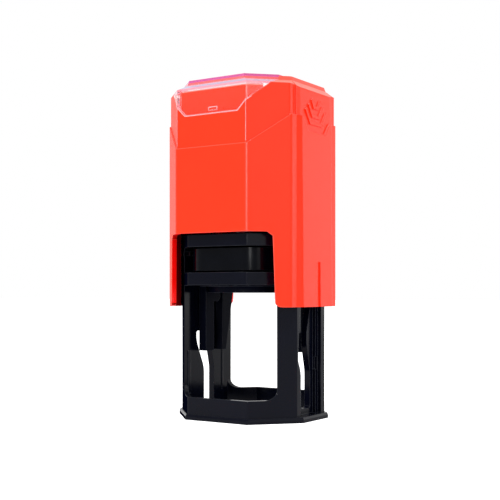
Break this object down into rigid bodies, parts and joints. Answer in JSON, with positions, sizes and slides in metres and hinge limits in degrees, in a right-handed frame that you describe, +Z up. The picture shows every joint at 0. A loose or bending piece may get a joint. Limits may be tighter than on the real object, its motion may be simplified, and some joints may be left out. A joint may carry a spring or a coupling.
{
  "type": "self-inking stamp",
  "caption": "Round self-inking stamp: pressing its casing down over an open frame turns the inked rubber die over from the pad onto the paper",
  "frame": {"origin": "middle of the base, on the desk", "axes": "+X towards the right side panel, +Y towards the back, +Z up; the cartridge comes out towards -Y"},
  "size_m": [0.0436, 0.0424, 0.0948],
  "materials": {
    "orange_plastic": "fluorescent orange-red moulded plastic, satin gloss",
    "black_plastic": "black moulded plastic, glossy",
    "cartridge_plastic": "black moulded plastic, satin",
    "clear_plastic": "clear moulded plastic",
    "card": "plain card",
    "foam": "closed foam",
    "die_rubber": "engraved rubber with a film of ink",
    "felt": "ink-soaked felt",
    "pad_cloth": "fine woven cover, wet with ink",
    "pin_steel": "ground pin",
    "spring_steel": "drawn wire"
  },
  "bodies": {
    "base": {"frame": "black_plastic", "foot_ring": "black_plastic", "return_spring": "spring_steel"},
    "casing": {"casing": "orange_plastic", "yoke": "black_plastic", "index_card": "card"},
    "die": {"die_carrier": "black_plastic", "axle_pin_left": "pin_steel", "axle_pin_right": "pin_steel", "foam_cushion": "foam", "rubber_die": "die_rubber"},
    "cartridge": {"cartridge_tray": "cartridge_plastic", "ink_pad": "felt", "pad_cloth": "pad_cloth"},
    "cap": {"clear_cap": "clear_plastic"}
  },
  "joints": [
    {"name": "press", "type": "slide", "parent": "base", "child": "casing", "axis": [0, 0, -1], "range_m": [0, 0.02835], "stiffness_N_per_m": 250, "springref_m": -0.032, "deforming": ["return_spring"]},
    {"name": "die_flip", "type": "hinge", "parent": "casing", "child": "die", "pos_m": [0, 0, 0.03485], "axis": [1, 0, 0], "range_deg": [0, 180]},
    {"name": "cartridge_slide", "type": "slide", "parent": "base", "child": "cartridge", "axis": [0, 1, 0], "range_m": [-0.038, 0]},
    {"name": "cap_lift", "type": "slide", "parent": "casing", "child": "cap", "axis": [0, 0, 1], "range_m": [0, 0.012]}
  ],
  "couplings": [
    {"joint": "die_flip", "follows": "press", "rad_per_m": 110.81}
  ]
}
